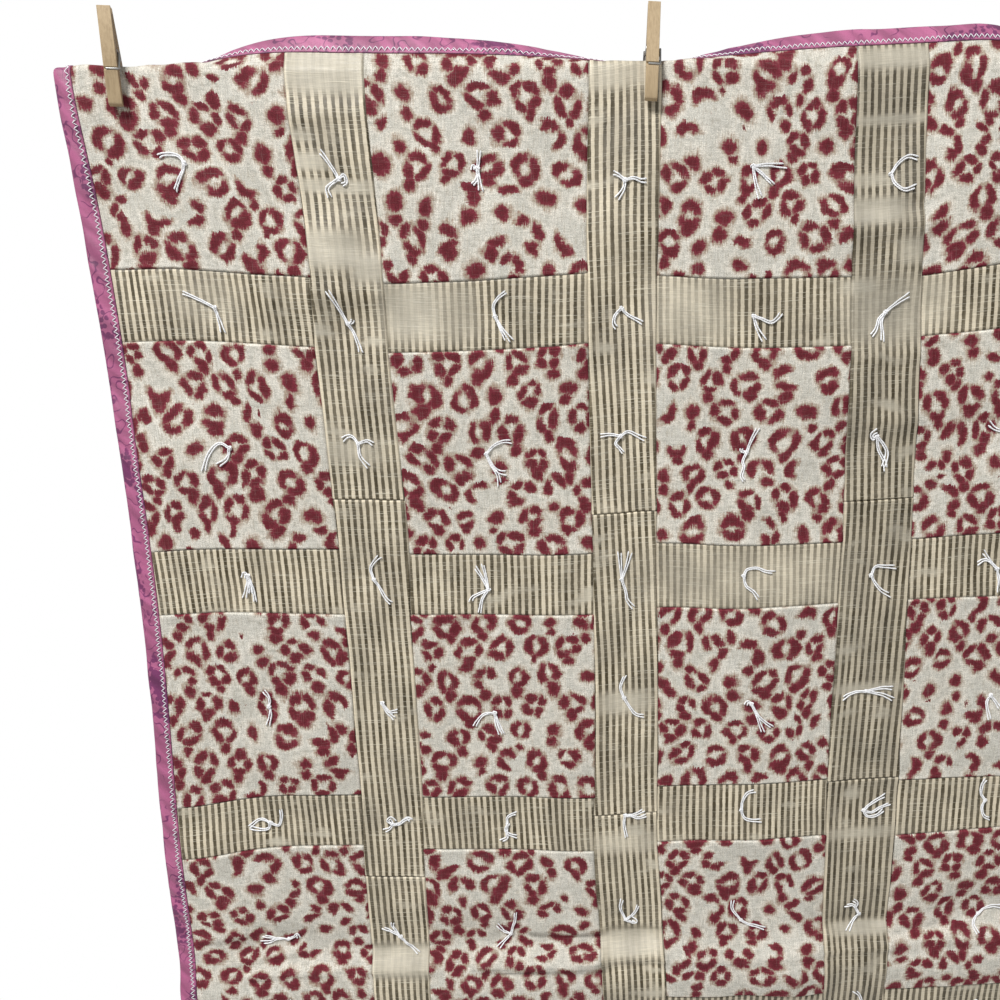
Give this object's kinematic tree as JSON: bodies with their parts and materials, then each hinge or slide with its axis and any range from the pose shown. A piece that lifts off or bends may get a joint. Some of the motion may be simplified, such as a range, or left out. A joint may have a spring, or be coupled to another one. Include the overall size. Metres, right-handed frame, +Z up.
{
  "type": "patchwork quilt hung by clothes pegs",
  "caption": "Tied patchwork quilt of leopard print blocks and striped sashes with a mauve binding, hung over a line by wooden clothes pegs",
  "frame": {"origin": "middle of the straight line that the quilt's top edge is folded over", "axes": "+Z up, +X to the right along the line, the pieced front faces -Y"},
  "size_m": [1.2013, 0.0514, 1.417],
  "materials": {
    "patchwork": "printed slub cotton and satin stripe, soft",
    "binding": "printed cotton with a low sheen",
    "peg_wood": "bare, weathered",
    "peg_wire": "dull"
  },
  "bodies": {
    "root": {"quilt": "patchwork", "binding_top": "binding", "binding_bottom": "binding", "binding_left": "binding", "binding_right": "binding", "peg_1_front": "peg_wood", "peg_1_back": "peg_wood", "peg_1_spring": "peg_wire", "peg_2_front": "peg_wood", "peg_2_back": "peg_wood", "peg_2_spring": "peg_wire", "peg_3_front": "peg_wood", "peg_3_back": "peg_wood", "peg_3_spring": "peg_wire", "peg_4_front": "peg_wood", "peg_4_back": "peg_wood", "peg_4_spring": "peg_wire"}
  },
  "joints": []
}
